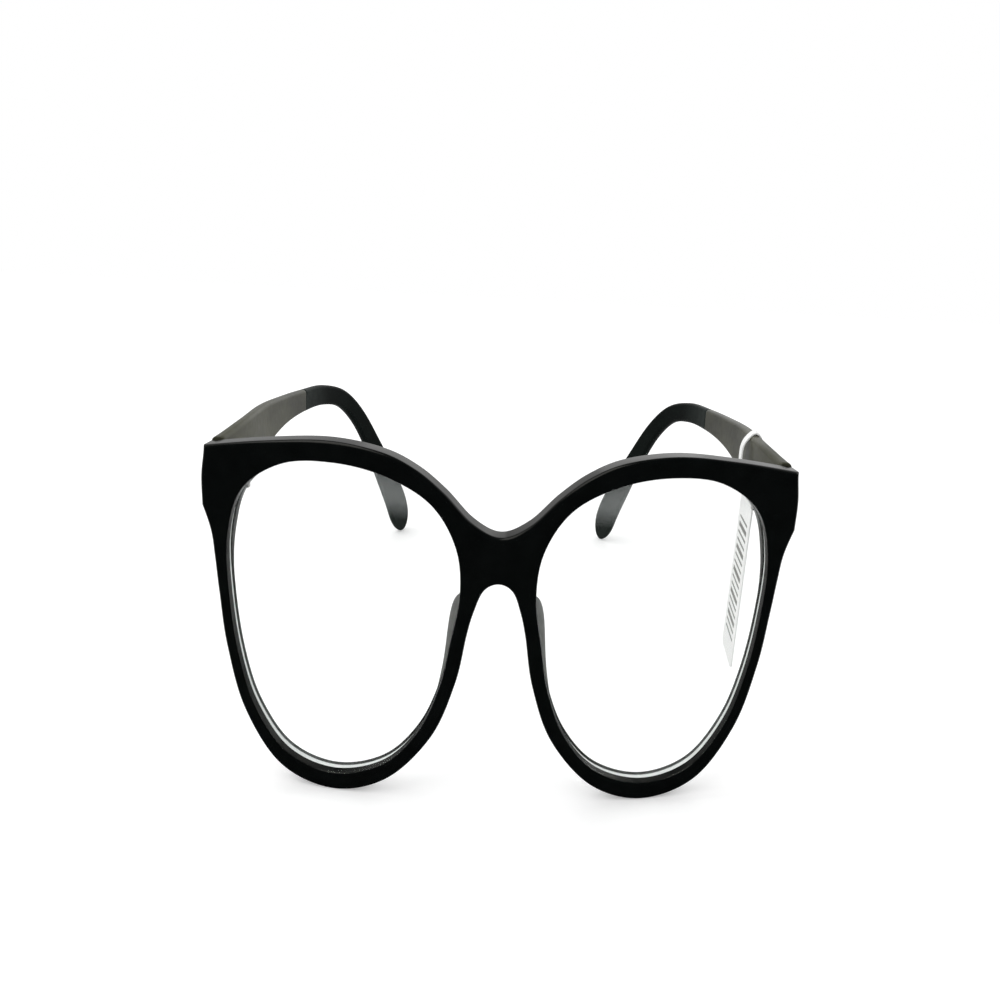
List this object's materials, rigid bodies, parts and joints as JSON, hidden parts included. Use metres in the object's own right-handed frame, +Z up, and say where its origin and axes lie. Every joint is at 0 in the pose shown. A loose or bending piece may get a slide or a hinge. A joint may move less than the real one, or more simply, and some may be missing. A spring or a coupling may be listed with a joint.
{
  "type": "eyeglasses",
  "caption": "Child's cat-eye eyeglasses: a flat black moulded front with tall lenses, folding grey-brown arms with dark ear tips, and a hanging stock tag.",
  "frame": {"origin": "bottom centre of the box around the open eyeglasses: on the floor, midway between the temples and midway from front to tips", "axes": "+Z up, -Y the way the wearer looks, +X the wearer's left; the front stands at -Y and the temples run back along +Y"},
  "size_m": [0.1282, 0.1276, 0.0779],
  "materials": {
    "black_plastic": "polished black",
    "clear_lens": "clear and polished",
    "grey_pad": "satin grey",
    "hinge_metal": "dull nickel",
    "screw_steel": "bright",
    "grey_brown_plastic": "satin",
    "core_metal": "drawn wire",
    "dark_tip_plastic": "satin dark green-black",
    "white_card": "coated card"
  },
  "bodies": {
    "front": {"front_frame": "black_plastic", "lens_right": "clear_lens", "lens_left": "clear_lens", "nose_pad_right": "grey_pad", "nose_pad_left": "grey_pad", "front_hinge_leaf_right": "hinge_metal", "front_hinge_leaf_left": "hinge_metal", "front_leaf_screws_right": "screw_steel", "front_leaf_screws_left": "screw_steel", "hinge_screw_right": "screw_steel", "hinge_screw_left": "screw_steel"},
    "temple_right": {"temple_hinge_leaf_right": "hinge_metal", "temple_leaf_screws_right": "screw_steel", "temple_arm_right": "grey_brown_plastic", "temple_core_right": "core_metal", "temple_tip_right": "dark_tip_plastic"},
    "temple_left": {"temple_hinge_leaf_left": "hinge_metal", "temple_leaf_screws_left": "screw_steel", "temple_arm_left": "grey_brown_plastic", "temple_core_left": "core_metal", "temple_tip_left": "dark_tip_plastic", "stock_tag": "white_card"}
  },
  "joints": [
    {"name": "hinge_right", "type": "hinge", "parent": "front", "child": "temple_right", "pos_m": [-0.0557, -0.05172, 0.0699], "axis": [0, 0, -1], "range_deg": [0, 75]},
    {"name": "hinge_left", "type": "hinge", "parent": "front", "child": "temple_left", "pos_m": [0.0557, -0.05172, 0.0699], "axis": [0, 0, 1], "range_deg": [0, 83]}
  ]
}
